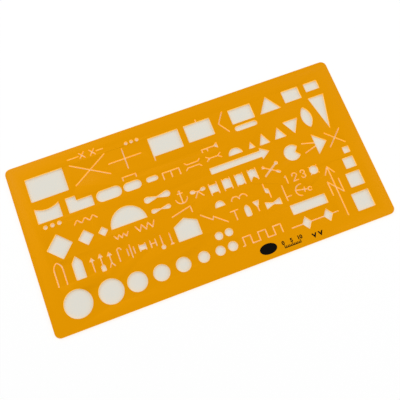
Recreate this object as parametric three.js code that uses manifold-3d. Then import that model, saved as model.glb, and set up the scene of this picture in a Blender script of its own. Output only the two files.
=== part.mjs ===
// A drawing template: one thin sheet of tinted plastic with symbol cut-outs that a pen is drawn round,
// and a few black marks printed on its face. Millimetres, +Z up, origin under the middle of the sheet.
import * as THREE from "three";
import { mergeVertices } from "three/addons/utils/BufferGeometryUtils.js";
import Module from "manifold-3d";

// The sheet
const PLATE_LENGTH = 210;
const PLATE_WIDTH = 106;
const PLATE_THICKNESS = 1.2;
const PLATE_CORNER_RADIUS = 3.5;

// The cutting: slots as wide as a pen tip, eased corners, and the web that holds the middle of a ring
const SLOT_WIDTH = 0.7;
const CORNER_EASE = 0.35;
const RING_WEB = 0.6;

// The print
const INK_THICKNESS = 0.05;

// Facets of the round outlines: how far a chord may stray from its arc, and steps along the other curves
const ARC_TOLERANCE = 0.035;
const BOW_STEPS = 8;
const WAVE_STEPS = 10;

// The cut-outs lie in rows, each this far over the one before it, in hundredths of the sheet's width
const ROW_RISE = { circles: 14.2, signs: 17, frames: 17.2, bars: 18, panels: 17.8 };

// A cut-out lies "along" on from the one before it in its row, in hundredths of the sheet's length, and
// "lift" over its row. So the layout spreads with the sheet, and every cut-out keeps its size.

// The row of circles, the lowest one
const CIRCLES = [
  { draw: circle, along: 8.4, diameter: 17 },
  { draw: circle, along: 9.4, diameter: 15 },
  { draw: circle, along: 7.5, diameter: 12 },
  { draw: circle, along: 7, diameter: 10 },
  { draw: circle, along: 6.4, diameter: 9 },
  { draw: circle, along: 6, diameter: 7 },
  { draw: circle, along: 4.9, diameter: 6 },
  { draw: circle, along: 1.1, lift: 8, diameter: 5 },
  { draw: circle, along: 2.6, diameter: 6 },
  { draw: circle, along: 0.4, lift: 8.1, diameter: 5 },
];
const SQUARE_WAVE = {
  draw: squareWave, along: 8.6, lift: 0.1,
  crests: 3, pitch: 4.75, swing: 5.1, lead: 1.2,
};
const LONG_BAR = { draw: rectangle, along: 15.6, lift: 7.2, width: 22.5, height: 6.2 };
const BEADED_LINE = {
  draw: beadedLine, along: 0.6, lift: -2.2,
  left: 16.4, right: 13.2, pitch: 13.7, width: 6, height: 8.4,
};
const NORTH_ARROW = {
  draw: northArrow, along: 8.6, lift: 8.9,
  height: 32, barb: 4.7, barbWidth: 5.9, sign: 8.6, signWidth: 7.1, signUp: 2.5,
};
const LARGE_SQUARE = { draw: rectangle, along: 5.7, lift: -1.2, width: 11.2, height: 11.2 };
const MEDIUM_SQUARE = { draw: rectangle, along: 0.5, lift: 11.8, width: 9.2, height: 9.2 };

// The row of small signs, with the zigzags, the gull and the figures over them
const HAIRPIN = { draw: hairpin, along: 6.1, lift: 1.5, width: 5.1, height: 13.7, nose: 4.1 };
const PENCIL_END = { draw: house, along: 5.3, lift: 1.7, width: 6.2, wall: 10.2, roof: 4.1, ease: 0.7 };
const PLAIN_ARROW = { draw: plainArrow, along: 4, lift: 0.3, height: 8.9, head: 2.6, headWidth: 3.3 };
const BOTTLE_ARROW = {
  draw: bottleArrow, along: 2.5, lift: -0.2,
  height: 11, head: 2.7, headWidth: 3.3, bulb: 4.4, bulbWidth: 2.8, shoulder: 1.2,
};
const FORK_ARROW = {
  draw: forkArrow, along: 2.5, lift: -0.1,
  height: 9.2, head: 2.6, headWidth: 3.3, fork: 2.4, forkWidth: 3,
};
const HOOK = { draw: hook, along: 2.4, lift: -0.2, height: 6.6, bend: 2.4 };
const FINE_ZIGZAG = { draw: zigzag, along: 2.6, lift: 10, strokes: 6, pitch: 1.4, swing: 2.2 };
const TALLY = { draw: tally, along: 1, lift: 0.1, pitch: 2, short: 4, tall: 7.8 };
const SPOOL = { draw: spool, along: 3.4, width: 3.7, height: 4, body: 3.2 };
const COARSE_ZIGZAG = { draw: zigzag, along: 2.7, lift: 10.5, strokes: 6, pitch: 1.95, swing: 3.5 };
const RUNG = { draw: rung, along: 0.4, lift: -0.1, width: 3.1, height: 4.1 };
const DROP_PIN = { draw: dropPin, along: 2.4, lift: -1.3, height: 8.6, bulb: 2.8 };
const NAIL = { draw: nail, along: 2.6, lift: -1.1, height: 7, foot: 2.7, footHeight: 2 };
const HOUSE = { draw: house, along: 5.3, lift: 1.5, width: 14.7, wall: 9.5, roof: 3.6 };
const ROOF_LINE = { draw: roofLine, along: 0.1, lift: 10.9, run: 12.2, pitch: 2.8, drop: 3.8 };
const BROKEN_LINE = { draw: brokenLine, along: 8, lift: 1.2, run: 14, fall: 9.4, jog: 1, kick: 1.8 };
const LOW_DOME = { draw: dome, along: 2.9, lift: 8.1, width: 6.3, height: 3.9 };
const TEE = { draw: tee, along: 3.1, lift: -1.3, width: 4.8, height: 5.8 };
const GULL = { draw: gull, along: 2.7, lift: 7.9, span: 4.9, bow: 2.1 };
const BULLET = { draw: bullet, along: 1, lift: -1.1, width: 3.7, height: 7.5, nose: 3, ease: 1.4 };
const FUNNEL = { draw: funnel, along: 3, lift: -0.5, width: 4.4, cone: 4.8, stem: 1.8 };
const SPARK = { draw: spark, along: 4.2, lift: 5.8, height: 9.2, lean: 1.9, body: 4.4, bodyWidth: 2.5 };
const BOW_TIE = { draw: bowTie, along: 0.4, lift: -2.3, length: 9.8, height: 4.7, waist: 1.2 };
const POST = { draw: post, along: 4.1, lift: 0.9, height: 9.8, tick: 3.2, tickUp: 2.2 };
const NUMERALS = { draw: numerals, along: 4.6, lift: 7.9, width: 3, height: 4.8, pitch: 5.3 };
const LYING_ANCHOR = {
  draw: lyingAnchor, along: 0.9, lift: -0.8,
  height: 9.8, span: 7.2, bow: 3.6, bar: 2.8, ring: 2.2, turn: -102,
};
const CUSHION = { draw: cushion, along: 5, lift: 7.9, side: 4.1, bow: 0.7, spike: 0.5, line: 0.5 };
const SMALL_SQUARE = { draw: rectangle, along: 10.6, lift: 4.9, width: 7, height: 7 };
const SMALLEST_SQUARE = { draw: rectangle, along: 0.7, lift: 12.6, width: 4.2, height: 4.2 };

// The row of rhombi, map frames and round signs
const LARGE_RHOMBUS = { draw: rhombus, along: 8.4, lift: -1, width: 15.9, height: 15.9 };
const MEDIUM_RHOMBUS = { draw: rhombus, along: 7.6, lift: -1.1, width: 9.9, height: 9.9 };
const WAVE = { draw: wave, along: 1.4, lift: 8.7, length: 14, pitch: 4.85, swing: 1.1 };
const SMALL_RHOMBUS = { draw: rhombus, along: 3.6, lift: -1.2, width: 6.2, height: 6.2 };
const HALF_DISC = { draw: halfDisc, along: 7.6, lift: 3.1, diameter: 22.2 };
const LONG_PROPELLER = { draw: propeller, along: 9.8, lift: 7, length: 16.4, lobe: 4.2, waist: 1 };
const SHORT_PROPELLER = { draw: propeller, along: -0.1, lift: -0.3, length: 12.2, lobe: 3, waist: 0.8 };
const ANCHOR = {
  draw: anchor, along: 6.4, lift: 1.9,
  height: 7.6, bar: 3, barDrop: 1.3, span: 7.2, bow: 3, ring: 1.5,
};
const MACES = {
  draw: maces, along: 5.1, lift: 1.9,
  headSpan: 7.4, headRise: 0.6, headLength: 0.9, knob: 2.4, footSpan: 5, footDrop: 3.4,
};
const MAP_FRAME = { draw: mapFrame, lift: 0.2, width: 4.8, height: 5.4, spike: 0.9 };
const HOLLOW_FRAME = { ...MAP_FRAME, along: 4.6, sag: -0.4 };
const CROWNED_FRAME = { ...MAP_FRAME, along: 4, crown: 0.9 };
const BARREL_FRAME = { ...MAP_FRAME, along: 3.9, crown: 0.9, sag: 0.9 };
const SWALLOW_FRAME = { ...MAP_FRAME, draw: swallowFrame, along: 4, crown: 0.9, notch: 1.5 };
const CROSSED_CLUBS = {
  draw: crossedClubs, along: 5.4, lift: -0.6,
  width: 9, height: 5.9, knob: 2.4, shaft: 1.1,
  grip: 1.7, gripLength: 1.4, blade: 2.2, bladeWidth: 2.6,
};
const NOTCHED_DISC = { draw: notchedDisc, along: 7.8, lift: 4.6, diameter: 10.4, mouth: 66, depth: 3.1 };
const TAILED_HEAD = {
  draw: tailedHead, along: 7.2, lift: 4.6,
  length: 7.7, width: 13.9, tail: 7.6, splay: 2.1, tailGap: 2.2,
};
const EVEN_CROSS = { draw: cross, along: 6.2, lift: 4.5, width: 9.8, height: 9.6 };

// The row of round bars and triangles, with the dots and the block arrow under them
const DOTS = { draw: dotRow, along: 8.3, lift: -6, count: 3, pitch: 4.25, diameter: 2.7 };
const DIPPED_PANEL = { draw: dippedPanel, lift: 1.5, width: 15, height: 9.7, dip: 2.2 };
const STEPPED_PANEL = {
  draw: steppedPanel, along: 9.2, lift: 1.5,
  width: 15.6, height: 9.7, tower: 6.1, step: 3.1,
};
const LONG_ROUND_BAR = { draw: roundBar, along: 8.5, lift: 0.2, length: 15.8, height: 7.1 };
const MIDDLE_ROUND_BAR = { draw: roundBar, along: 7, lift: 0.1, length: 11.2, height: 5.7 };
const BRACKET = { draw: bracket, lift: 5.5, width: 8.2, drop: 1.9 };
const SHORT_ROUND_BAR = { draw: roundBar, along: 5.9, length: 7.5, height: 3.4 };
const COMB = { draw: comb, along: 5.7, lift: -1, width: 10.4, teeth: 3, drop: 4 };
const BRIDGE = { draw: bridge, along: 6.7, lift: -0.2, length: 7.2, gap: 2.2, flare: 1.2 };
const KEY = {
  draw: key, along: 6.3, lift: 6.2,
  length: 10.2, teeth: 2, pitch: 3.4, drop: 1.7, bit: 2.8, bitWidth: 4,
};
const WRENCH = { draw: wrench, along: 0.1, lift: -0.1, length: 5.2, reach: 2, spread: 1.4 };
const DOME = { draw: dome, along: 6.4, lift: -1, width: 9, height: 4.3 };
const BLOCK_ARROW = {
  draw: blockArrow, along: 0.3, lift: -7.7,
  shaft: 32.8, thickness: 4.2, head: 5.7, headWidth: 7.8,
};
const SMALL_TRIANGLE = { draw: triangle, along: 4.8, lift: -0.8, width: 4.3, height: 4.5 };
const MEDIUM_TRIANGLE = { draw: triangle, along: 4, lift: 0.3, width: 7.1, height: 7.3 };
const LARGE_TRIANGLE = { draw: triangle, along: 5, lift: 0.6, width: 7.9, height: 7.4 };
const INVERTED_TRIANGLE = { draw: triangle, along: 4.5, lift: 1.2, width: 10.2, height: 9.4, turn: 180 };
const LENS = { draw: lens, along: 5.1, lift: 3.9, width: 6.6, height: 13.6, tip: 0.8 };
const WEDGE = { draw: triangle, along: 5.1, lift: 3.5, width: 10.4, height: 23, turn: 180 };

// The row of large panels, with the broken dashes and the upper dots over them
const WIDE_PANEL = { draw: rectangle, along: 10.2, lift: -0.5, width: 23.2, height: 15 };
const LEFT_DASH = { draw: dash, along: 9.4, lift: 9.5, length: 6.8 };
const SMALL_CROSS = { draw: cross, width: 3.1, height: 3.6 };
const LEFT_CROSS = { ...SMALL_CROSS, along: 2.7, lift: 9.6 };
const LARGE_CROSS = { draw: cross, along: 0.9, lift: -0.4, width: 21.8, height: 13.3 };
const RIGHT_CROSS = { ...SMALL_CROSS, along: 2.2, lift: 9.4 };
const RIGHT_DASH = { draw: dash, along: 2.2, lift: 9.3, length: 4 };
const PLUS = { draw: plus, along: 6, lift: -0.9, width: 20.4, height: 13.2 };
const UPPER_DOTS = { draw: dotRow, along: 3.4, lift: 7.6, count: 3, pitch: 3.5, diameter: 2.3 };
const FLAG = { draw: flag, along: 9.2, width: 19.5, height: 12.4, pole: 2.5 };
const TICKED_PANEL = { draw: tickedPanel, along: 10.5, lift: 0.4, width: 17, height: 11.5, tick: 1.3 };
const CHEVRON = { draw: chevron, along: 7.1, width: 4.5, height: 13.6 };
const THIN_ROUND_BAR = { draw: roundBar, along: 6.3, lift: -6.5, length: 14.6, height: 3.5 };
const MIDDLE_PANEL = { draw: rectangle, lift: 1.3, width: 14.8, height: 9.8 };
const PEAK = { draw: triangle, along: 8.6, lift: 1.7, width: 13.9, height: 10.3 };
const RIGHT_PANEL = { draw: rectangle, along: 7.6, lift: 2.2, width: 11.2, height: 8.1 };
const CORNER_PANEL = { draw: rectangle, along: 6.7, lift: 3.3, width: 9.1, height: 5.8 };

// The print along the lower edge, placed in the same way
const PRINT_RISE = 4.4;
const PRINTED_OVAL = {
  name: "printed_oval", draw: oval, along: 62.2, lift: 1.4,
  width: 10.6, height: 6.5,
};
const PRINTED_SCALE = {
  name: "printed_scale", draw: scale, along: 6.9, lift: -1.6,
  length: 10, divisions: 10, line: 0.45, tick: 0.9, longTick: 1.4,
};
const POINTER = { draw: pointer, lift: -0.6, width: 3.2, height: 3.1, arm: 0.9 };
const LEFT_POINTER = { ...POINTER, name: "printed_pointer_left", along: 6.6 };
const RIGHT_POINTER = { ...POINTER, name: "printed_pointer_right", along: 1.9 };

// Each row's cut-outs from left to right
const ROWS = [
  {
    rise: ROW_RISE.circles,
    marks: [...CIRCLES, SQUARE_WAVE, LONG_BAR, BEADED_LINE, NORTH_ARROW, LARGE_SQUARE, MEDIUM_SQUARE],
  },
  {
    rise: ROW_RISE.signs,
    marks: [
      HAIRPIN, PENCIL_END, PLAIN_ARROW, BOTTLE_ARROW, FORK_ARROW, HOOK, FINE_ZIGZAG, TALLY, SPOOL,
      COARSE_ZIGZAG, RUNG, DROP_PIN, NAIL, HOUSE, ROOF_LINE, BROKEN_LINE, LOW_DOME, TEE, GULL, BULLET,
      FUNNEL, SPARK, BOW_TIE, POST, NUMERALS, LYING_ANCHOR, CUSHION, SMALL_SQUARE, SMALLEST_SQUARE,
    ],
  },
  {
    rise: ROW_RISE.frames,
    marks: [
      LARGE_RHOMBUS, MEDIUM_RHOMBUS, WAVE, SMALL_RHOMBUS, HALF_DISC, LONG_PROPELLER, SHORT_PROPELLER,
      ANCHOR, MACES, HOLLOW_FRAME, CROWNED_FRAME, BARREL_FRAME, SWALLOW_FRAME, CROSSED_CLUBS,
      NOTCHED_DISC, TAILED_HEAD, EVEN_CROSS,
    ],
  },
  {
    rise: ROW_RISE.bars,
    marks: [
      DOTS, DIPPED_PANEL, STEPPED_PANEL, LONG_ROUND_BAR, MIDDLE_ROUND_BAR, BRACKET, SHORT_ROUND_BAR, COMB,
      BRIDGE, KEY, WRENCH, DOME, BLOCK_ARROW, SMALL_TRIANGLE, MEDIUM_TRIANGLE, LARGE_TRIANGLE,
      INVERTED_TRIANGLE, LENS, WEDGE,
    ],
  },
  {
    rise: ROW_RISE.panels,
    marks: [
      WIDE_PANEL, LEFT_DASH, LEFT_CROSS, LARGE_CROSS, RIGHT_CROSS, RIGHT_DASH, PLUS, UPPER_DOTS, FLAG,
      TICKED_PANEL, CHEVRON, THIN_ROUND_BAR, MIDDLE_PANEL, PEAK, RIGHT_PANEL, CORNER_PANEL,
    ],
  },
];

// Colours
const ORANGE_PLASTIC = { color: 0xe29600, roughness: 0.35, metalness: 0 };
const BLACK_INK = { color: 0x17130f, roughness: 0.6, metalness: 0 };

const HALF_TURN = Math.PI;
const QUARTER_TURN = Math.PI / 2;

const wasm = await Module();
wasm.setup();

// Outlines

const point = (x, y) => new THREE.Vector2(x, y);

// A closed outline, with points that all but repeat their neighbour left out.
function outline(points) {
  const distinct = points.filter((p, i) => p.distanceTo(points.at(i - 1)) > ARC_TOLERANCE);
  return new THREE.Shape(distinct);
}

// How many chords an arc needs to stay within tolerance.
function chordCount(radius, turn) {
  const step = 2 * Math.acos(1 - Math.min(ARC_TOLERANCE / radius, 1));
  return Math.ceil(Math.abs(turn) / step);
}

// Points along an arc of an ellipse about a centre, as many as its larger radius needs.
function ellipseArc(cx, cy, radiusX, radiusY, start, end) {
  const count = chordCount(Math.max(radiusX, radiusY), end - start);
  const curve = new THREE.EllipseCurve(cx, cy, radiusX, radiusY, start, end, end < start);
  return curve.getPoints(count);
}

function arc(cx, cy, radius, start, end) {
  return ellipseArc(cx, cy, radius, radius, start, end);
}

// A point on the way from one point to another, at most halfway along.
function towards(from, to, distance) {
  const way = to.clone().sub(from);
  return from.clone().add(way.setLength(Math.min(distance, way.length() / 2)));
}

// Points round a corner that is eased by a curve.
function easedCorner(before, corner, after, ease) {
  const start = towards(corner, before, ease);
  const end = towards(corner, after, ease);
  return new THREE.QuadraticBezierCurve(start, corner, end).getPoints(chordCount(ease, QUARTER_TURN));
}

// A straight-sided outline with every corner eased.
function polygon(corners, ease = CORNER_EASE) {
  const points = corners.map(([x, y]) => point(x, y));
  const next = (i) => points[(i + 1) % points.length];
  return outline(points.flatMap((corner, i) => easedCorner(points.at(i - 1), corner, next(i), ease)));
}

function disc(cx, cy, diameter) {
  return outline(arc(cx, cy, diameter / 2, 0, 2 * HALF_TURN));
}

// A round-ended slot from one point to another.
function slot([ax, ay], [bx, by], width = SLOT_WIDTH) {
  const heading = Math.atan2(by - ay, bx - ax);
  return outline([
    ...arc(bx, by, width / 2, heading - QUARTER_TURN, heading + QUARTER_TURN),
    ...arc(ax, ay, width / 2, heading + QUARTER_TURN, heading + 3 * QUARTER_TURN),
  ]);
}

// Slots from each point to the next.
function chain(points, width = SLOT_WIDTH) {
  return points.slice(1).map((to, i) => slot(points[i], to, width));
}

// A round-ended slot along an arc, from its start anticlockwise to its end.
function arcSlot(cx, cy, radius, start, end) {
  const half = SLOT_WIDTH / 2;
  const cap = (angle, from) => {
    const x = cx + radius * Math.cos(angle);
    const y = cy + radius * Math.sin(angle);
    return arc(x, y, half, from, from + HALF_TURN);
  };
  return outline([
    ...arc(cx, cy, radius + half, start, end),
    ...cap(end, end),
    ...arc(cx, cy, radius - half, end, start),
    ...cap(start, start + HALF_TURN),
  ]);
}

// A round-ended slot that follows a curve.
function trackSlot(curve, steps) {
  const spine = curve.getPoints(steps);
  const side = (offset) => spine.map((p, i) => {
    const tangent = curve.getTangent(i / steps);
    return point(p.x - tangent.y * offset, p.y + tangent.x * offset);
  });
  const cap = (p, tangent) => {
    const heading = tangent.angle();
    return arc(p.x, p.y, SLOT_WIDTH / 2, heading - QUARTER_TURN, heading + QUARTER_TURN);
  };
  const start = curve.getTangent(0).negate();
  return outline([
    ...side(-SLOT_WIDTH / 2),
    ...cap(spine.at(-1), curve.getTangent(1)),
    ...side(SLOT_WIDTH / 2).reverse(),
    ...cap(spine[0], start),
  ]);
}

// Radius of the arc that spans a chord and rises to a given height over it.
function archRadius(span, rise) {
  return (span * span / 4 + rise * rise) / (2 * rise);
}

// Points along a bow between two level points, given its rise in the middle.
function bowed(from, to, rise) {
  const middle = point((from.x + to.x) / 2, from.y + 2 * rise);
  return new THREE.QuadraticBezierCurve(from, middle, to).getPoints(BOW_STEPS);
}

function moved(shapes, move) {
  return shapes.map((shape) => outline(shape.getPoints().map(move)));
}

function turned(shapes, degrees) {
  const pivot = point(0, 0);
  const angle = THREE.MathUtils.degToRad(degrees);
  return moved(shapes, (p) => p.rotateAround(pivot, angle));
}

function raised(shapes, height) {
  return moved(shapes, (p) => p.setY(p.y + height));
}

// Plain holes, each drawn about its own middle

function circle({ diameter }) {
  return [disc(0, 0, diameter)];
}

function dotRow({ count, pitch, diameter }) {
  return Array.from({ length: count }, (_, i) => disc((i - (count - 1) / 2) * pitch, 0, diameter));
}

function rectangle({ width, height }) {
  const [x, y] = [width / 2, height / 2];
  return [polygon([[-x, -y], [x, -y], [x, y], [-x, y]])];
}

// A panel with a pole down its left side.
function flag({ width, height, pole }) {
  const x = (SLOT_WIDTH - width) / 2;
  return [...rectangle({ width, height }), slot([x, 0], [x, -height / 2 - pole])];
}

// A panel with a short line standing on it.
function tickedPanel({ width, height, tick }) {
  return [...rectangle({ width, height }), slot([0, 0], [0, height / 2 + tick])];
}

function rhombus({ width, height }, x = 0) {
  return [polygon([[x, -height / 2], [x + width / 2, 0], [x, height / 2], [x - width / 2, 0]])];
}

function roundBar({ length, height }) {
  const reach = (length - height) / 2;
  return [slot([-reach, 0], [reach, 0], height)];
}

function triangle({ width, height, turn = 0 }) {
  const up = polygon([[-width / 2, -height / 2], [width / 2, -height / 2], [0, height / 2]]);
  return turned([up], turn);
}

function dome({ width, height }) {
  return [outline(ellipseArc(0, -height / 2, width / 2, height, 0, HALF_TURN))];
}

// The arcs of a pointed arch: how far past the middle their centres lie, their radius and their turn.
function pointedArch(width, rise) {
  const offset = (rise * rise - width * width / 4) / width;
  const radius = offset + width / 2;
  const turn = Math.acos(offset / radius);
  return { offset, radius, turn };
}

function bullet({ width, height, nose, ease }) {
  const spring = height / 2 - nose;
  const { offset, radius, turn } = pointedArch(width, nose);
  const [left, right] = [point(-width / 2, -height / 2), point(width / 2, -height / 2)];
  return [outline([
    ...easedCorner(point(-width / 2, spring), left, right, ease),
    ...easedCorner(left, right, point(width / 2, spring), ease),
    ...arc(-offset, spring, radius, 0, turn),
    ...arc(offset, spring, radius, HALF_TURN - turn, HALF_TURN),
  ])];
}

function bowTie({ length, height, waist }) {
  const [x, y] = [length / 2, height / 2];
  return [polygon([[-x, -y], [0, -waist / 2], [x, -y], [x, y], [0, waist / 2], [-x, y]])];
}

// Two round lobes with straight flanks, each flank at a tangent to its lobe, that meet at a waist.
function propeller({ length, lobe, waist }) {
  const [radius, reach] = [lobe / 2, (length - lobe) / 2];
  const lean = Math.asin(radius / Math.hypot(reach, waist / 2)) - Math.atan2(waist / 2, reach);
  const turn = QUARTER_TURN + lean;
  return [outline([
    ...arc(reach, 0, radius, -turn, turn),
    point(0, waist / 2),
    ...arc(-reach, 0, radius, HALF_TURN - turn, HALF_TURN + turn),
    point(0, -waist / 2),
  ])];
}

function halfDisc({ diameter }) {
  return [outline(arc(0, -diameter / 4, diameter / 2, 0, HALF_TURN))];
}

// A lens with blunt tips, given their radius.
function lens({ width, height, tip }) {
  const [span, rise] = [height - 2 * tip, width / 2 - tip];
  const radius = archRadius(span, rise);
  const offset = radius - rise;
  const turn = Math.asin(span / 2 / radius);
  return [outline([
    ...arc(-offset, 0, radius + tip, -turn, turn),
    ...arc(0, span / 2, tip, turn, HALF_TURN - turn),
    ...arc(offset, 0, radius + tip, HALF_TURN - turn, HALF_TURN + turn),
    ...arc(0, -span / 2, tip, HALF_TURN + turn, 2 * HALF_TURN - turn),
  ])];
}

function dippedPanel({ width, height, dip }) {
  const [x, y] = [width / 2, height / 2];
  const radius = archRadius(width, dip);
  const turn = Math.asin(x / radius);
  return [outline([
    point(-x, -y),
    point(x, -y),
    ...arc(0, y - dip + radius, radius, turn - QUARTER_TURN, -turn - QUARTER_TURN),
  ])];
}

function steppedPanel({ width, height, tower, step }) {
  const [x, y] = [width / 2, height / 2];
  return [polygon([[-x, -y], [x, -y], [x, y - step], [tower - x, y - step], [tower - x, y], [-x, y]])];
}

// A panel with a gable, as a house or as the end of a pencil.
function house({ width, wall, roof, ease = CORNER_EASE }) {
  const x = width / 2;
  const floor = -(wall + roof) / 2;
  const eaves = floor + wall;
  return [polygon([[-x, floor], [x, floor], [x, eaves], [0, eaves + roof], [-x, eaves]], ease)];
}

function notchedDisc({ diameter, mouth, depth }) {
  const half = THREE.MathUtils.degToRad(mouth / 2);
  const throat = point(diameter / 2 - depth, 0);
  return [outline([...arc(0, 0, diameter / 2, half, 2 * HALF_TURN - half), throat])];
}

// A square with bowed sides and a fine spike at each corner.
function cushion({ side, bow, spike, line }) {
  const half = side / 2;
  const reach = side + 2 * spike;
  const top = bowed(point(half, half), point(-half, half), bow);
  const sides = [0, 1, 2, 3].flatMap((quarter) =>
    top.map((p) => p.clone().rotateAround(point(0, 0), quarter * QUARTER_TURN)));
  return [outline(sides), ...cross({ width: reach, height: reach, line })];
}

function blockArrow({ shaft, thickness, head, headWidth }) {
  const start = -(shaft + head) / 2;
  const neck = start + shaft;
  const [y, barb] = [thickness / 2, headWidth / 2];
  return [polygon([
    [start, -y], [neck, -y], [neck, -barb], [neck + head, 0], [neck, barb], [neck, y], [start, y],
  ])];
}

// The two lines down the sides of a map unit's frame.
function frameSides(x, reach) {
  return [-x, x].map((side) => slot([side, -reach], [side, reach]));
}

// A map unit's frame: an open panel whose sides run on past it, with a crowned head and a sagging foot.
function mapFrame({ width, height, spike, crown = 0, sag = 0 }) {
  const [x, y] = [width / 2, height / 2];
  const foot = bowed(point(-x, -y), point(x, -y), -sag);
  const head = bowed(point(x, y), point(-x, y), crown);
  return [outline([...foot, ...head]), ...frameSides(x, y + spike)];
}

// The same with a swallow tail in place of the foot.
function swallowFrame({ width, height, spike, crown, notch }) {
  const [x, y] = [width / 2, height / 2];
  const tail = [point(-x, -y - spike), point(0, notch - y), point(x, -y - spike)];
  const head = bowed(point(x, y), point(-x, y), crown);
  return [outline([...tail, ...head]), ...frameSides(x, y + spike)];
}

// Line work, each drawn about its own middle

function cross({ width, height, line = SLOT_WIDTH }) {
  const [x, y] = [width / 2, height / 2];
  return [slot([-x, -y], [x, y], line), slot([-x, y], [x, -y], line)];
}

function dash({ length }) {
  return [slot([-length / 2, 0], [length / 2, 0])];
}

function plus({ width, height }) {
  return [...dash({ length: width }), slot([0, -height / 2], [0, height / 2])];
}

function chevron({ width, height }) {
  return chain([[width / 2, height / 2], [-width / 2, 0], [width / 2, -height / 2]]);
}

function bracket({ width, drop }) {
  const [x, y] = [width / 2, drop / 2];
  return chain([[-x, -y], [-x, y], [x, y], [x, -y]]);
}

function comb({ width, teeth, drop }) {
  const top = drop / 2;
  const tooth = (_, i) => {
    const x = width * (i / (teeth - 1) - 0.5);
    return slot([x, top], [x, -top]);
  };
  return [slot([-width / 2, top], [width / 2, top]), ...Array.from({ length: teeth }, tooth)];
}

function bridge({ length, gap, flare }) {
  const x = length / 2;
  return [-1, 1].flatMap((side) => {
    const rail = side * gap / 2;
    const tip = rail + side * flare;
    return chain([[-x - flare, tip], [-x, rail], [x, rail], [x + flare, tip]]);
  });
}

function key({ length, teeth, pitch, drop, bit, bitWidth }) {
  const [x, neck] = [length / 2, length / 2 - bit];
  const tooth = (_, i) => slot([i * pitch - x, 0], [i * pitch - x, -drop]);
  return [
    slot([-x, 0], [neck, 0]),
    polygon([[neck, 0], [x, -bitWidth / 2], [x, bitWidth / 2]]),
    ...Array.from({ length: teeth }, tooth),
  ];
}

function wrench({ length, reach, spread }) {
  const x = length / 2;
  const jaws = [-1, 1].flatMap((side) =>
    [-spread, spread].map((tip) => slot([side * x, 0], [side * (x + reach), tip])));
  return [slot([-x, 0], [x, 0]), ...jaws];
}

class Ripple extends THREE.Curve {
  constructor(length, pitch, swing) {
    super();
    Object.assign(this, { length, pitch, swing });
  }

  getPoint(t, target = point(0, 0)) {
    const x = (t - 0.5) * this.length;
    return target.set(x, this.swing * Math.cos(2 * Math.PI * x / this.pitch));
  }
}

function wave({ length, pitch, swing }) {
  return [trackSlot(new Ripple(length, pitch, swing), Math.ceil(WAVE_STEPS * length / pitch))];
}

// Curved arms through three points: two tips level with each other and the low middle between them.
function arms(span, bow, low) {
  const radius = archRadius(span, bow);
  const turn = Math.asin(span / 2 / radius);
  return arcSlot(0, low + radius, radius, -QUARTER_TURN - turn, -QUARTER_TURN + turn);
}

function anchor({ height, bar, barDrop, span, bow, ring }) {
  const y = height / 2;
  return [
    slot([0, -y], [0, y]),
    disc(0, y, ring),
    slot([-bar / 2, y - barDrop], [bar / 2, y - barDrop]),
    arms(span, bow, -y),
  ];
}

// Crossed maces, bent where they cross.
function maces({ headSpan, headRise, headLength, knob, footSpan, footDrop }) {
  const crossing = point(0, 0);
  return [-1, 1].flatMap((side) => {
    const head = point(side * headSpan / 2, headRise);
    const foot = point(-side * footSpan / 2, -footDrop);
    return [slot(head, towards(head, crossing, headLength), knob), ...chain([head, crossing, foot])];
  });
}

// A knobbed club across a paddle, which has a flared blade at one end and a grip at the other.
function crossedClubs({ width, height, knob, shaft, grip, gripLength, blade, bladeWidth }) {
  const [x, y] = [width / 2, height / 2];
  const [tip, end] = [point(-x, y), point(x, -y)];
  const root = towards(tip, end, blade);
  const spread = root.clone().sub(tip).setLength(bladeWidth / 2).rotateAround(point(0, 0), QUARTER_TURN);
  const flare = [tip.clone().add(spread), tip.clone().sub(spread), root];
  return [
    slot([-x, -y], [x, y], shaft),
    disc(x, y, knob),
    slot(tip, end),
    polygon(flare),
    slot(end, towards(end, tip, gripLength), grip),
  ];
}

function tailedHead({ length, width, tail, splay, tailGap }) {
  const head = polygon([[0, -width / 2], [length, 0], [0, width / 2]]);
  const tails = [-1, 1].map((side) => {
    const root = side * tailGap / 2;
    return slot([0, root], [-tail, root + side * splay]);
  });
  return [head, ...tails];
}

function zigzag({ strokes, pitch, swing }) {
  const corner = (_, i) => [(i - strokes / 2) * pitch, i % 2 ? -swing / 2 : swing / 2];
  return chain(Array.from({ length: strokes + 1 }, corner));
}

function roofLine({ run, pitch, drop }) {
  const top = drop / 2;
  return chain([[-run / 2, top - pitch], [run / 2, top], [run / 2, -top]]);
}

function gull({ span, bow }) {
  const radius = archRadius(span, bow);
  const turn = Math.asin(span / 2 / radius);
  return [-span / 2, span / 2].map((x) =>
    arcSlot(x, bow / 2 - radius, radius, QUARTER_TURN - turn, QUARTER_TURN + turn));
}

function spark({ height, lean, body, bodyWidth }) {
  const [x, y] = [lean / 2, height / 2];
  const half = bodyWidth / 2;
  const block = polygon([[-half, -body / 4], [half, -body / 2], [half, body / 4], [-half, body / 2]]);
  return [slot([-x, y], [-x, 0]), block, slot([x, 0], [x, -y])];
}

// The figures 1, 2 and 3 in open strokes, so that no middle falls out.
function numerals({ width, height, pitch }) {
  const [x, y] = [width / 2, height / 2];
  const one = chain([[-pitch - x / 2, y - x / 2], [-pitch, y], [-pitch, -y]]);
  const two = [arcSlot(0, y - x, x, 0, HALF_TURN), ...chain([[x, y - x], [-x, -y], [x, -y]])];
  const lobe = y / 2;
  const three = [
    arcSlot(pitch, lobe, lobe, -QUARTER_TURN, HALF_TURN),
    arcSlot(pitch, -lobe, lobe, -HALF_TURN, QUARTER_TURN),
  ];
  return [...one, ...two, ...three];
}

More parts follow.
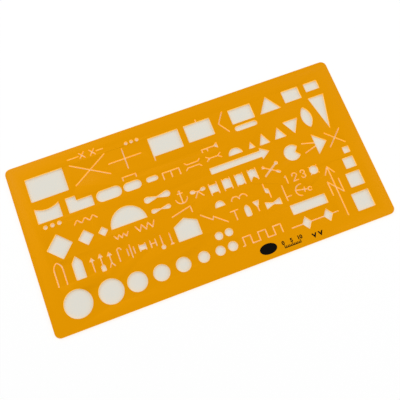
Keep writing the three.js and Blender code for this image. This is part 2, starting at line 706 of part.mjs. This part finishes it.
function hairpin({ width, height, nose }) {
  const spring = height / 2 - nose;
  const { offset, radius, turn } = pointedArch(width, nose);
  return [
    slot([-width / 2, -height / 2], [-width / 2, spring]),
    slot([width / 2, -height / 2], [width / 2, spring]),
    arcSlot(-offset, spring, radius, 0, turn),
    arcSlot(offset, spring, radius, HALF_TURN - turn, HALF_TURN),
  ];
}

function plainArrow({ height, head, headWidth }) {
  const y = height / 2;
  const tip = polygon([[-headWidth / 2, y - head], [headWidth / 2, y - head], [0, y]]);
  return [tip, slot([0, -y], [0, y - head])];
}

// An arrow that stands on a bottle, its shaft let into the bottle as far as the shoulder.
function bottleArrow({ height, head, headWidth, bulb, bulbWidth, shoulder }) {
  const [x, foot] = [bulbWidth / 2, -height / 2];
  const wall = bulb - shoulder;
  const bottle = [[-x, foot], [x, foot], [x, foot + wall], [0, foot + bulb], [-x, foot + wall]];
  const reach = { height: height - wall, head, headWidth };
  return [polygon(bottle, shoulder / 2), ...raised(plainArrow(reach), wall / 2)];
}

function forkArrow({ height, head, headWidth, fork, forkWidth }) {
  const y = height / 2;
  const prongs = [-1, 1].map((side) => slot([0, fork - y], [side * forkWidth / 2, -y]));
  const reach = { height: height - fork, head, headWidth };
  return [...raised(plainArrow(reach), fork / 2), ...prongs];
}

function hook({ height, bend }) {
  const y = height / 2;
  return [slot([0, -y], [0, y]), arcSlot(bend / 2, y, bend / 2, 0, HALF_TURN)];
}

function tally({ pitch, short, tall }) {
  const strokes = [[-pitch, short], [0, tall], [pitch, short]];
  return strokes.map(([x, height]) => slot([x, -height / 2], [x, height / 2]));
}

function rung({ width, height }) {
  const [x, y] = [width / 2, height / 2];
  return [slot([-x, -y], [-x, y]), slot([x, -y], [x, y]), slot([-x, 0], [x, 0])];
}

function spool({ width, height, body }) {
  return [...rung({ width, height }), ...rectangle({ width, height: body })];
}

function dropPin({ height, bulb }) {
  const y = height / 2;
  return [slot([0, bulb / 2 - y], [0, y]), disc(0, bulb / 2 - y, bulb)];
}

function nail({ height, foot, footHeight }) {
  const y = height / 2;
  const flare = polygon([[-foot / 2, -y], [foot / 2, -y], [0, footHeight - y]]);
  return [slot([0, footHeight / 2 - y], [0, y]), flare];
}

function brokenLine({ run, fall, jog, kick }) {
  const [x, y] = [run / 2, fall / 2];
  return chain([[-x, y], [-jog, -kick / 4], [0, 3 * kick / 4], [x, -y]]);
}

function tee({ width, height }) {
  const [x, y] = [width / 2, height / 2];
  return [slot([-x, y], [x, y]), slot([0, y], [0, -y])];
}

function funnel({ width, cone, stem }) {
  const [x, y] = [width / 2, (cone + stem) / 2];
  const throat = y - cone;
  return [polygon([[-x, y], [0, throat], [x, y]]), slot([0, throat + SLOT_WIDTH], [0, -y])];
}

function post({ height, tick, tickUp }) {
  const y = height / 2;
  return [slot([0, -y], [0, y]), slot([0, tickUp - y], [tick, tickUp - y])];
}

// An anchor lying on its side, its ring left open so that the middle stays attached.
function lyingAnchor({ height, span, bow, bar, ring, turn }) {
  const y = height / 2;
  const eye = y - ring / 2;
  const barLevel = y - 2 * ring;
  const open = Math.asin((SLOT_WIDTH + RING_WEB) / ring);
  const standing = [
    arms(span, bow, -y),
    slot([0, -y], [0, y - ring]),
    slot([-bar / 2, barLevel], [bar / 2, barLevel]),
    arcSlot(0, eye, ring / 2, QUARTER_TURN + open, 5 * QUARTER_TURN - open),
  ];
  return turned(standing, turn);
}

// An arrow with the letter for north across its shaft.
function northArrow({ height, barb, barbWidth, sign, signWidth, signUp }) {
  const [x, y] = [barbWidth / 2, height / 2];
  const [side, top, foot] = [signWidth / 2, signUp + sign / 2, signUp - sign / 2];
  return [
    slot([0, -y], [0, y]),
    ...chain([[-x, y - barb], [0, y], [x, y - barb]]),
    ...chain([[-side, foot], [-side, top], [side, foot], [side, top]]),
  ];
}

function squareWave({ crests, pitch, swing, lead }) {
  const posts = 2 * crests;
  const first = -pitch * (posts - 1) / 2;
  const points = [[first - lead, -swing / 2]];
  for (let i = 0; i < posts; i += 1) {
    const [x, from] = [first + i * pitch, i % 2 ? swing / 2 : -swing / 2];
    points.push([x, from], [x, -from]);
  }
  return chain(points);
}

function beadedLine({ left, right, pitch, width, height }) {
  const beads = [-pitch / 2, pitch / 2].flatMap((x) => rhombus({ width, height }, x));
  return [slot([-left, 0], [right, 0]), ...beads];
}

// The outlines of the print

function oval({ width, height }) {
  return outline(ellipseArc(0, 0, width / 2, height / 2, 0, 2 * HALF_TURN));
}

// A base line with a tick at every division, the first, middle and last longer.
function scale({ length, divisions, line, tick, longTick }) {
  const half = line / 2;
  const points = [point(-length / 2 - half, 0), point(length / 2 + half, 0)];
  for (let i = divisions; i >= 0; i -= 1) {
    const x = length * (i / divisions - 0.5);
    const top = line + (i % (divisions / 2) ? tick : longTick);
    points.push(point(x + half, line), point(x + half, top), point(x - half, top), point(x - half, line));
  }
  return outline(points);
}

// A mark of two arms that meet at its foot, over the lower edge.
function pointer({ width, height, arm }) {
  const [x, y] = [width / 2, height / 2];
  const notch = height * (1 - arm / x);
  return outline([
    point(0, -y),
    point(x, y),
    point(x - arm, y),
    point(0, y - notch),
    point(arm - x, y),
    point(-x, y),
  ]);
}

// Solids

// The marks of a row with their places, measured from the sheet's lower left corner.
function placed(marks, level) {
  let across = 0;
  return marks.map((mark) => {
    const { along = 0, lift = 0 } = mark;
    across += along;
    return { ...mark, x: across / 100 * PLATE_LENGTH, y: (level + lift) / 100 * PLATE_WIDTH };
  });
}

function extruded(shape, depth) {
  return new THREE.ExtrudeGeometry(shape, { depth, bevelEnabled: false });
}

// A geometry as a solid that can be joined and cut.
function solid(geometry) {
  const bare = new THREE.BufferGeometry();
  bare.setAttribute("position", geometry.getAttribute("position"));
  const merged = mergeVertices(bare);
  return new wasm.Manifold(new wasm.Mesh({
    numProp: 3,
    vertProperties: merged.getAttribute("position").array,
    triVerts: new Uint32Array(merged.index.array),
  }));
}

function geometryOf(made) {
  const mesh = made.getMesh();
  const geometry = new THREE.BufferGeometry();
  geometry.setAttribute("position", new THREE.BufferAttribute(mesh.vertProperties, mesh.numProp));
  geometry.setIndex(new THREE.BufferAttribute(mesh.triVerts, 1));
  geometry.computeVertexNormals();
  return geometry;
}

// One cut-out's solids, three sheets thick so that they run past both faces.
function cutters(mark) {
  return mark.draw(mark).map((shape) => {
    const geometry = extruded(shape, 3 * PLATE_THICKNESS);
    return solid(geometry.translate(mark.x, mark.y, -PLATE_THICKNESS));
  });
}

function plateGeometry() {
  const r = PLATE_CORNER_RADIUS;
  const [right, top] = [PLATE_LENGTH - r, PLATE_WIDTH - r];
  const blank = outline([
    ...arc(r, r, r, HALF_TURN, 3 * QUARTER_TURN),
    ...arc(right, r, r, -QUARTER_TURN, 0),
    ...arc(right, top, r, 0, QUARTER_TURN),
    ...arc(r, top, r, QUARTER_TURN, HALF_TURN),
  ]);
  const tools = [];
  let level = 0;
  for (const { rise, marks } of ROWS) {
    level += rise;
    tools.push(...placed(marks, level).flatMap(cutters));
  }
  const sheet = solid(extruded(blank, PLATE_THICKNESS));
  return geometryOf(sheet.subtract(wasm.Manifold.union(tools)));
}

const part = new THREE.Group();
part.position.set(-PLATE_LENGTH / 2, -PLATE_WIDTH / 2, 0);

function addPiece(name, geometry, finish) {
  const mesh = new THREE.Mesh(geometry, new THREE.MeshStandardMaterial(finish));
  mesh.name = name;
  part.add(mesh);
}

addPiece("template_plate", plateGeometry(), ORANGE_PLASTIC);

// Each printed mark is a film of ink lying on the sheet's face.
for (const mark of placed([PRINTED_OVAL, PRINTED_SCALE, LEFT_POINTER, RIGHT_POINTER], PRINT_RISE)) {
  const film = extruded(mark.draw(mark), INK_THICKNESS);
  addPiece(mark.name, film.translate(mark.x, mark.y, PLATE_THICKNESS), BLACK_INK);
}

export default part;
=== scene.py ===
"""A drawing template: a thin sheet of orange plastic with symbol cut-outs and a little print."""
import math

import bmesh
import bpy
from mathutils import Matrix, Vector


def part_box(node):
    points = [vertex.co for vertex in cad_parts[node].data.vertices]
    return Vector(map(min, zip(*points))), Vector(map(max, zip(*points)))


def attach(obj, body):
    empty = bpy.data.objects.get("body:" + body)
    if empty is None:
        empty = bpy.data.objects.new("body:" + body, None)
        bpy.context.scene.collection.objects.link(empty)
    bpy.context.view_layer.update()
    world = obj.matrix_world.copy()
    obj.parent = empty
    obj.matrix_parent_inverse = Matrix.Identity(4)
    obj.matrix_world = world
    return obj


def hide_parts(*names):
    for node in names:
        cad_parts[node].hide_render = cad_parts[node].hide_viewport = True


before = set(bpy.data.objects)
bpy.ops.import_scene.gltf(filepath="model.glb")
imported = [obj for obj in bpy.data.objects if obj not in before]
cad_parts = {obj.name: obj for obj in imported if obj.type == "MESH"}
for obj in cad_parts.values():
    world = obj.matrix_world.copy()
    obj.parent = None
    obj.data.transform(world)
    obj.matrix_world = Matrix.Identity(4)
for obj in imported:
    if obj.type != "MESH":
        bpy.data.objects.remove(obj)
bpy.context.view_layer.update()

MM = 0.001

# The sheet: its broken edges, and how far a normal rises on its faces and on its cut walls
EDGE_BREAK = 0.04 * MM
WELD_REACH = 0.001 * MM
FACE_RISE = 0.9
WALL_RISE = 0.1
SHARP_ANGLE = math.radians(30)

# The print
PRINTED_NODES = ("printed_oval", "printed_scale", "printed_pointer_left", "printed_pointer_right")
SCALE_FIGURES = ("0", "5", "10")
INK_THICKNESS = 0.05 * MM
NUMERAL_SIZE = 3.2 * MM
NUMERAL_WEIGHT = 0.12 * MM
NUMERAL_GAP = 0.4 * MM

# Colours as linear values
ORANGE = (0.76, 0.3, 0.0005, 1)
PALE_ORANGE = (0.98, 0.56, 0.08, 1)
# Painted glow: the colour that the cut walls emit, in place of light carried through the dyed
# plastic
PAINTED_EDGE_GLOW = (1, 0.55, 0.05, 1)
INK = (0.004, 0.003, 0.002, 1)
WHITE = (1, 1, 1, 1)
CARD_GREY = (0.74, 0.72, 0.65, 1)

# Finishes: the strength of the painted glow that the cut walls emit in place of the light that dyed
# plastic carries to them, the depth of the fine relief, the middle of a noise, and the hairlines'
# turns in radians with how much finer each is across
PAINTED_GLOW_STRENGTH = 0.32
SCRATCH_DEPTH = 0.02 * MM
CUTTER_DEPTH = 0.02 * MM
SCREEN_DEPTH = 0.01 * MM
NOISE_MIDDLE = 0.5
HAIRLINES = ((0.4, 40.0), (-0.9, 55.0))

# The stage, with the share of each surface that takes shadow, and the short way that light goes
# through it to the sheet's underside
FLOOR_SIZE = 8
FLOOR_HEIGHT = -0.12 * MM
FLOOR_SHADOW = 0.3
CARD_INSET = 1.5 * MM
CARD_HEIGHT = -0.05 * MM
CARD_SHADOW = 0.9
UNDERSIDE_REACH = 0.3 * MM

# The lights, in metres and watts
WORLD_LEVEL = 0.65
LAMP_SIZE = 0.8
KEY_PLACE = (-0.4, 0.65, 0.85)
KEY_POWER = 4.2
FILL_PLACE = (0.85, -0.3, 0.7)
FILL_POWER = 3.4

# The camera: its place over the sheet and its own axes
LENS_MM = 57.07
SENSOR_MM = 36
CLIP_START = 10 * MM
CAMERA_PLACE = Vector((-41.11, -100.08, 363.35)) * MM
CAMERA_RIGHT = Vector((0.9347, -0.3552, 0.0099))
CAMERA_UP = Vector((0.3392, 0.9001, 0.2733))


# Nodes

def add_node(tree, kind, inputs=None, **settings):
    """A new node with its settings, and with values or links on its inputs."""
    made = tree.nodes.new(kind)
    for name, value in settings.items():
        setattr(made, name, value)
    for key, value in (inputs or {}).items():
        if isinstance(value, bpy.types.NodeSocket):
            tree.links.new(value, made.inputs[key])
        else:
            made.inputs[key].default_value = value
    return made


def calculate(tree, operation, first, second):
    """The result of a Math node on two values or links."""
    made = add_node(tree, "ShaderNodeMath", {0: first, 1: second}, operation=operation)
    return made.outputs[0]


def object_place(tree):
    """The place on the piece that a pattern follows."""
    return add_node(tree, "ShaderNodeTexCoord").outputs["Object"]


def new_group(name, inputs, outputs):
    """An empty node group with named sockets, given as {name: kind}."""
    tree = bpy.data.node_groups.new(name, "ShaderNodeTree")
    for label, kind in inputs.items():
        tree.interface.new_socket(label, in_out="INPUT", socket_type=kind)
    for label, kind in outputs.items():
        tree.interface.new_socket(label, in_out="OUTPUT", socket_type=kind)
    start = tree.nodes.new("NodeGroupInput")
    end = tree.nodes.new("NodeGroupOutput")
    return tree, start.outputs, end.inputs


def new_material(name):
    """A material with a bare tree and its output node."""
    material = bpy.data.materials.new(name)
    material.use_nodes = True
    tree = material.node_tree
    tree.nodes.clear()
    return material, tree, tree.nodes.new("ShaderNodeOutputMaterial")


def colour_drift_group():
    """Slow changes of depth in a colour, and a fine mottle over them."""
    tree, given, made = new_group(
        "colour drift",
        {
            "Colour": "NodeSocketColor",
            "Drift": "NodeSocketFloat",
            "Patches per Metre": "NodeSocketFloat",
            "Mottle": "NodeSocketFloat",
        },
        {"Colour": "NodeSocketColor"},
    )
    place = object_place(tree)
    patches = add_node(
        tree, "ShaderNodeTexNoise",
        {"Vector": place, "Scale": given["Patches per Metre"], "Detail": 3.0},
    )
    specks = add_node(tree, "ShaderNodeTexNoise", {"Vector": place, "Scale": 2500.0, "Detail": 2.0})
    slow = calculate(tree, "SUBTRACT", patches.outputs["Fac"], NOISE_MIDDLE)
    fine = calculate(tree, "SUBTRACT", specks.outputs["Fac"], NOISE_MIDDLE)
    slow = calculate(tree, "MULTIPLY", slow, given["Drift"])
    fine = calculate(tree, "MULTIPLY", fine, given["Mottle"])
    both = calculate(tree, "ADD", slow, fine)
    depth = calculate(tree, "ADD", both, 1.0)
    scaled = add_node(
        tree, "ShaderNodeVectorMath", {0: given["Colour"], "Scale": depth}, operation="SCALE"
    )
    tree.links.new(scaled.outputs["Vector"], made["Colour"])
    return tree


def handling_marks_group():
    """Hairline scratches and the dull smears of handling, as a roughness and a height."""
    tree, given, made = new_group(
        "handling marks",
        {"Polish": "NodeSocketFloat", "Smear": "NodeSocketFloat", "Scratch": "NodeSocketFloat"},
        {"Roughness": "NodeSocketFloat", "Height": "NodeSocketFloat"},
    )
    place = object_place(tree)
    hairlines = []
    for turn, stretch in HAIRLINES:
        turned = add_node(
            tree, "ShaderNodeMapping",
            {"Vector": place, "Rotation": (0, 0, turn), "Scale": (1, stretch, 1)},
        )
        streaks = add_node(
            tree, "ShaderNodeTexNoise", {"Vector": turned.outputs[0], "Scale": 45.0, "Detail": 4.0}
        )
        line = add_node(
            tree, "ShaderNodeMapRange",
            {"Value": streaks.outputs["Fac"], "From Min": 0.66, "From Max": 0.74},
        )
        hairlines.append(line.outputs[0])
    lines = calculate(tree, "MAXIMUM", *hairlines)
    smears = add_node(tree, "ShaderNodeTexNoise", {"Vector": place, "Scale": 60.0, "Detail": 5.0})
    dull = calculate(tree, "MULTIPLY", smears.outputs["Fac"], given["Smear"])
    scored = calculate(tree, "MULTIPLY", lines, given["Scratch"])
    marks = calculate(tree, "ADD", dull, scored)
    rough = calculate(tree, "ADD", marks, given["Polish"])
    cut = calculate(tree, "MULTIPLY", lines, -1.0)
    tree.links.new(rough, made["Roughness"])
    tree.links.new(cut, made["Height"])
    return tree


COLOUR_DRIFT = colour_drift_group()
HANDLING_MARKS = handling_marks_group()


def sheet_face_material():
    """Dyed plastic, polished, with the faint hairlines of use."""
    material, tree, output = new_material("orange sheet face")
    dye = add_node(
        tree, "ShaderNodeGroup",
        {"Colour": ORANGE, "Drift": 0.05, "Patches per Metre": 18.0, "Mottle": 0.02},
        node_tree=COLOUR_DRIFT,
    )
    marks = add_node(
        tree, "ShaderNodeGroup",
        {"Polish": 0.2, "Smear": 0.1, "Scratch": 0.15},
        node_tree=HANDLING_MARKS,
    )
    relief = add_node(
        tree, "ShaderNodeBump",
        {"Height": marks.outputs["Height"], "Strength": 0.1, "Distance": SCRATCH_DEPTH},
    )
    plastic = add_node(
        tree, "ShaderNodeBsdfPrincipled",
        {
            "Base Color": dye.outputs["Colour"],
            "Roughness": marks.outputs["Roughness"],
            "Normal": relief.outputs["Normal"],
            "Specular IOR Level": 0.3,
            "Specular Tint": ORANGE,
        },
    )
    tree.links.new(plastic.outputs[0], output.inputs["Surface"])
    return material


def cut_edge_material():
    """The cut walls: the same plastic, paler and satin, with the cutter's fine lines round them,
    and a painted glow.
    """
    material, tree, output = new_material("orange cut edge")
    dye = add_node(
        tree, "ShaderNodeGroup",
        {"Colour": PALE_ORANGE, "Drift": 0.1, "Patches per Metre": 220.0, "Mottle": 0.06},
        node_tree=COLOUR_DRIFT,
    )
    place = object_place(tree)
    layered = add_node(tree, "ShaderNodeMapping", {"Vector": place, "Scale": (0.05, 0.05, 1)})
    lines = add_node(
        tree, "ShaderNodeTexNoise", {"Vector": layered.outputs[0], "Scale": 9000.0, "Detail": 3.0}
    )
    satin = add_node(
        tree, "ShaderNodeMapRange", {"Value": lines.outputs["Fac"], "To Min": 0.4, "To Max": 0.62}
    )
    relief = add_node(
        tree, "ShaderNodeBump",
        {"Height": lines.outputs["Fac"], "Strength": 0.3, "Distance": CUTTER_DEPTH},
    )
    plastic = add_node(
        tree, "ShaderNodeBsdfPrincipled",
        {
            "Base Color": dye.outputs["Colour"],
            "Roughness": satin.outputs[0],
            "Normal": relief.outputs["Normal"],
            "Specular IOR Level": 0.25,
            # A painted glow: the cut walls emit light, though they are no lamp
            "Emission Color": PAINTED_EDGE_GLOW,
            "Emission Strength": PAINTED_GLOW_STRENGTH,
        },
    )
    tree.links.new(plastic.outputs[0], output.inputs["Surface"])
    return material


def ink_material():
    """Screen-printed ink, a little thinner in places, with the fine grain of the screen."""
    material, tree, output = new_material("black print")
    density = add_node(
        tree, "ShaderNodeGroup",
        {"Colour": INK, "Drift": 0.8, "Patches per Metre": 900.0, "Mottle": 0.5},
        node_tree=COLOUR_DRIFT,
    )
    place = object_place(tree)
    screen = add_node(tree, "ShaderNodeTexVoronoi", {"Vector": place, "Scale": 9000.0})
    matte = add_node(
        tree, "ShaderNodeMapRange",
        {"Value": screen.outputs["Distance"], "To Min": 0.5, "To Max": 0.72},
    )
    relief = add_node(
        tree, "ShaderNodeBump",
        {"Height": screen.outputs["Distance"], "Strength": 0.2, "Distance": SCREEN_DEPTH},
    )
    film = add_node(
        tree, "ShaderNodeBsdfPrincipled",
        {
            "Base Color": density.outputs["Colour"],
            "Roughness": matte.outputs[0],
            "Normal": relief.outputs["Normal"],
            "Specular IOR Level": 0.03,
        },
    )
    tree.links.new(film.outputs[0], output.inputs["Surface"])
    return material


# Pieces

def show(name, mesh, materials):
    """A mesh as an object in the scene, with its materials."""
    piece = bpy.data.objects.new(name, mesh)
    bpy.context.scene.collection.objects.link(piece)
    for material in materials:
        mesh.materials.append(material)
    return piece


def break_edges(bm, side):
    """A fine chamfer round every edge of the upper (side 1) or lower (side -1) face."""
    caps = [face for face in bm.faces if face.normal.z * side > FACE_RISE]
    rim = {vert for face in caps for vert in face.verts}
    bmesh.ops.inset_region(bm, faces=caps, thickness=EDGE_BREAK, use_boundary=True)
    walls = [
        vert for vert in rim if any(abs(face.normal.z) < WALL_RISE for face in vert.link_faces)
    ]
    bmesh.ops.translate(bm, verts=walls, vec=(0, 0, -side * EDGE_BREAK))


def finished_sheet():
    """The cut sheet with the sharpness taken off its outline and every cut-out, on both faces."""
    bm = bmesh.new()
    bm.from_mesh(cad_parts["template_plate"].data)
    bmesh.ops.remove_doubles(bm, verts=bm.verts, dist=WELD_REACH)
    break_edges(bm, 1)
    break_edges(bm, -1)
    bm.normal_update()
    for face in bm.faces:
        face.smooth = abs(face.normal.z) < FACE_RISE
        face.material_index = int(face.smooth)
    mesh = bpy.data.meshes.new("finished_sheet")
    bm.to_mesh(mesh)
    bm.free()
    mesh.set_sharp_from_angle(angle=SHARP_ANGLE)
    return show("finished_sheet", mesh, [sheet_face_material(), cut_edge_material()])


def figure_mesh(words):
    """A figure of the scale as a flat mesh, centred on the origin along X."""
    text = bpy.data.curves.new("scale_figure", "FONT")
    text.body = words
    text.size = NUMERAL_SIZE
    text.offset = NUMERAL_WEIGHT
    text.align_x = "CENTER"
    writer = bpy.data.objects.new("scale_figure", text)
    mesh = bpy.data.meshes.new_from_object(writer)
    bpy.data.objects.remove(writer)
    bpy.data.curves.remove(text)
    return mesh


def scale_figures(ink):
    """The figures over the long ticks of the printed scale, as one film of ink."""
    low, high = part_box("printed_scale")
    bm = bmesh.new()
    for i, words in enumerate(SCALE_FIGURES):
        flat = figure_mesh(words)
        x = low.x + (high.x - low.x) * i / (len(SCALE_FIGURES) - 1)
        flat.transform(Matrix.Translation((x, high.y + NUMERAL_GAP, low.z)))
        bm.from_mesh(flat)
        bpy.data.meshes.remove(flat)
    bmesh.ops.remove_doubles(bm, verts=bm.verts, dist=WELD_REACH)
    lifted = bmesh.ops.extrude_face_region(bm, geom=bm.faces[:], use_keep_orig=True)
    top = [item for item in lifted["geom"] if isinstance(item, bmesh.types.BMVert)]
    bmesh.ops.translate(bm, verts=top, vec=(0, 0, INK_THICKNESS))
    bmesh.ops.recalc_face_normals(bm, faces=bm.faces)
    mesh = bpy.data.meshes.new("scale_figures")
    bm.to_mesh(mesh)
    bm.free()
    return show("scale_figures", mesh, [ink])


# The stage

def one_sided(tree, output, shader):
    """Shows a surface from above, and leaves it clear from below and to the sheet just over it."""
    behind = add_node(tree, "ShaderNodeNewGeometry").outputs["Backfacing"]
    travelled = add_node(tree, "ShaderNodeLightPath").outputs["Ray Length"]
    close = calculate(tree, "LESS_THAN", travelled, UNDERSIDE_REACH)
    passed = calculate(tree, "MAXIMUM", behind, close)
    clear = add_node(tree, "ShaderNodeBsdfTransparent")
    mix = add_node(tree, "ShaderNodeMixShader", {0: passed, 1: shader, 2: clear.outputs[0]})
    tree.links.new(mix.outputs[0], output.inputs["Surface"])


def seen_directly(tree):
    """1 on a ray that shows the surface to the camera, straight, mirrored or through glass."""
    path = add_node(tree, "ShaderNodeLightPath").outputs
    seen = calculate(tree, "MAXIMUM", path["Is Camera Ray"], path["Is Glossy Ray"])
    return calculate(tree, "MAXIMUM", seen, path["Is Transmission Ray"])


def stage_material(name, colour, shadow):
    """A pale surface in its own colour, with a share of it left to the light for the shadow."""
    material, tree, output = new_material(name)
    lit = [c * shadow for c in colour[:3]] + [1]
    own = add_node(tree, "ShaderNodeEmission", {"Color": colour, "Strength": 1 - shadow})
    shaded = add_node(tree, "ShaderNodeBsdfDiffuse", {"Color": lit})
    shown = add_node(tree, "ShaderNodeAddShader", {0: own.outputs[0], 1: shaded.outputs[0]})
    plain = add_node(tree, "ShaderNodeBsdfDiffuse", {"Color": colour})
    mix = add_node(
        tree, "ShaderNodeMixShader",
        {0: seen_directly(tree), 1: plain.outputs[0], 2: shown.outputs[0]},
    )
    one_sided(tree, output, mix.outputs[0])
    return material


def flat_stage(name, width, depth, height, material):
    """A level rectangle of the stage, centred under the sheet."""
    bm = bmesh.new()
    bmesh.ops.create_grid(bm, x_segments=1, y_segments=1, size=0.5)
    bmesh.ops.scale(bm, vec=(width, depth, 1), verts=bm.verts)
    bmesh.ops.translate(bm, vec=(0, 0, height), verts=bm.verts)
    mesh = bpy.data.meshes.new(name)
    bm.to_mesh(mesh)
    bm.free()
    show(name, mesh, [material])


def build_stage():
    """A white floor, with a sheet of warm grey card just under the template."""
    low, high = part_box("template_plate")
    card_width = high.x - low.x - 2 * CARD_INSET
    card_depth = high.y - low.y - 2 * CARD_INSET
    flat_stage(
        "floor", FLOOR_SIZE, FLOOR_SIZE, FLOOR_HEIGHT,
        stage_material("white floor", WHITE, FLOOR_SHADOW),
    )
    flat_stage(
        "card", card_width, card_depth, CARD_HEIGHT,
        stage_material("grey card", CARD_GREY, CARD_SHADOW),
    )


def build_world():
    """White to look at, and a soft light on the sheet."""
    world = bpy.data.worlds.new("studio")
    bpy.context.scene.world = world
    world.use_nodes = True
    tree = world.node_tree
    tree.nodes.clear()
    shown = add_node(tree, "ShaderNodeBackground", {"Color": WHITE, "Strength": 1.0})
    light = add_node(tree, "ShaderNodeBackground", {"Color": WHITE, "Strength": WORLD_LEVEL})
    mix = add_node(
        tree, "ShaderNodeMixShader",
        {0: seen_directly(tree), 1: light.outputs[0], 2: shown.outputs[0]},
    )
    output = tree.nodes.new("ShaderNodeOutputWorld")
    tree.links.new(mix.outputs[0], output.inputs["Surface"])


def add_lamp(name, place, power):
    """A square soft lamp that faces the sheet's middle."""
    data = bpy.data.lights.new(name, "AREA")
    data.size = LAMP_SIZE
    data.energy = power
    lamp = bpy.data.objects.new(name, data)
    lamp.location = place
    lamp.rotation_euler = (-Vector(place)).to_track_quat("-Z", "Y").to_euler()
    bpy.context.scene.collection.objects.link(lamp)


def add_camera():
    """The camera at its place over the sheet, turned to its own axes."""
    data = bpy.data.cameras.new("camera")
    data.lens = LENS_MM
    data.sensor_width = SENSOR_MM
    data.clip_start = CLIP_START
    camera = bpy.data.objects.new("camera", data)
    back = CAMERA_RIGHT.cross(CAMERA_UP)
    axes = Matrix((CAMERA_RIGHT, CAMERA_UP, back)).transposed()
    camera.matrix_world = Matrix.Translation(CAMERA_PLACE) @ axes.to_4x4()
    bpy.context.scene.collection.objects.link(camera)
    bpy.context.scene.camera = camera


bpy.context.scene.view_settings.view_transform = "Standard"
add_camera()

ink = ink_material()
for node in PRINTED_NODES:
    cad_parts[node].data.materials.clear()
    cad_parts[node].data.materials.append(ink)

sheet = finished_sheet()
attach(sheet, "root")
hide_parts("template_plate")

figures = scale_figures(ink)
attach(figures, "root")

build_stage()
build_world()
add_lamp("key", KEY_PLACE, KEY_POWER)
add_lamp("fill", FILL_PLACE, FILL_POWER)
